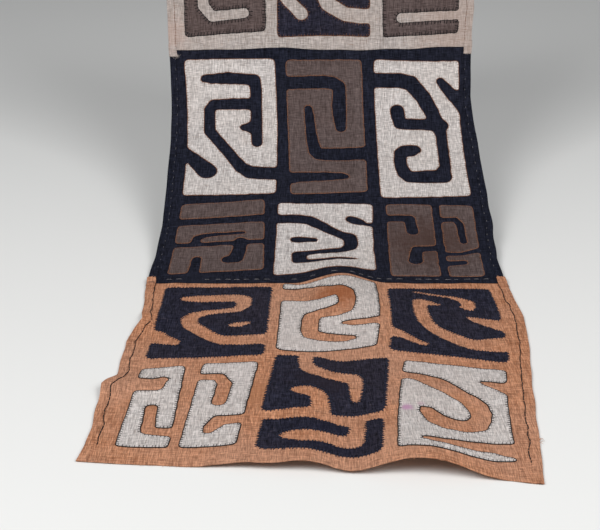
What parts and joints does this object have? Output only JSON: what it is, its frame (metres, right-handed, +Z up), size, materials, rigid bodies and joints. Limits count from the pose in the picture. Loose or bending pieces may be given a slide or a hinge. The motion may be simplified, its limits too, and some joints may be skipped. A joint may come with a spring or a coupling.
{
  "type": "kuba raffia cloth",
  "caption": "Long hanging raffia cloth of joined woven panels with cut and sewn raffia figures, sweeping forward to lie on the surface below.",
  "frame": {"origin": "middle of the top edge, on the back of the cloth, where it is held", "axes": "+Z up, +X to the right seen from the front, the sewn face looks towards -Y and then up"},
  "size_m": [0.5385, 0.9972, 0.7178],
  "materials": {
    "cream_ground": "undyed plain-woven raffia, matt and slightly slubby",
    "navy_ground": "dark blue dyed plain-woven raffia, matt",
    "orange_ground": "orange-tan dyed plain-woven raffia, matt, faded in places",
    "cream_figures": "undyed plain-woven raffia, matt",
    "brown_figures": "brown dyed plain-woven raffia, matt",
    "indigo_figures": "blue-black dyed plain-woven raffia, matt"
  },
  "bodies": {
    "root": {"cream_panel": "cream_ground", "navy_panel": "navy_ground", "orange_panel": "orange_ground", "cream_lower_centre_1": "indigo_figures", "cream_lower_left_1": "brown_figures", "cream_lower_right_1": "brown_figures", "cream_upper_centre_1": "brown_figures", "cream_upper_left_1": "indigo_figures", "cream_upper_right_1": "indigo_figures", "navy_lower_centre_1": "cream_figures", "navy_lower_left_1": "brown_figures", "navy_lower_left_2": "brown_figures", "navy_lower_left_3": "brown_figures", "navy_lower_right_1": "brown_figures", "navy_lower_right_2": "brown_figures", "navy_lower_right_3": "brown_figures", "navy_upper_centre_1": "brown_figures", "navy_upper_left_1": "cream_figures", "navy_upper_right_1": "cream_figures", "orange_far_left_1": "cream_figures", "orange_foot_centre_1": "indigo_figures", "orange_lower_centre_1": "indigo_figures", "orange_lower_left_1": "cream_figures", "orange_lower_right_1": "cream_figures", "orange_upper_centre_1": "cream_figures", "orange_upper_left_1": "indigo_figures", "orange_upper_right_1": "indigo_figures"}
  },
  "joints": []
}
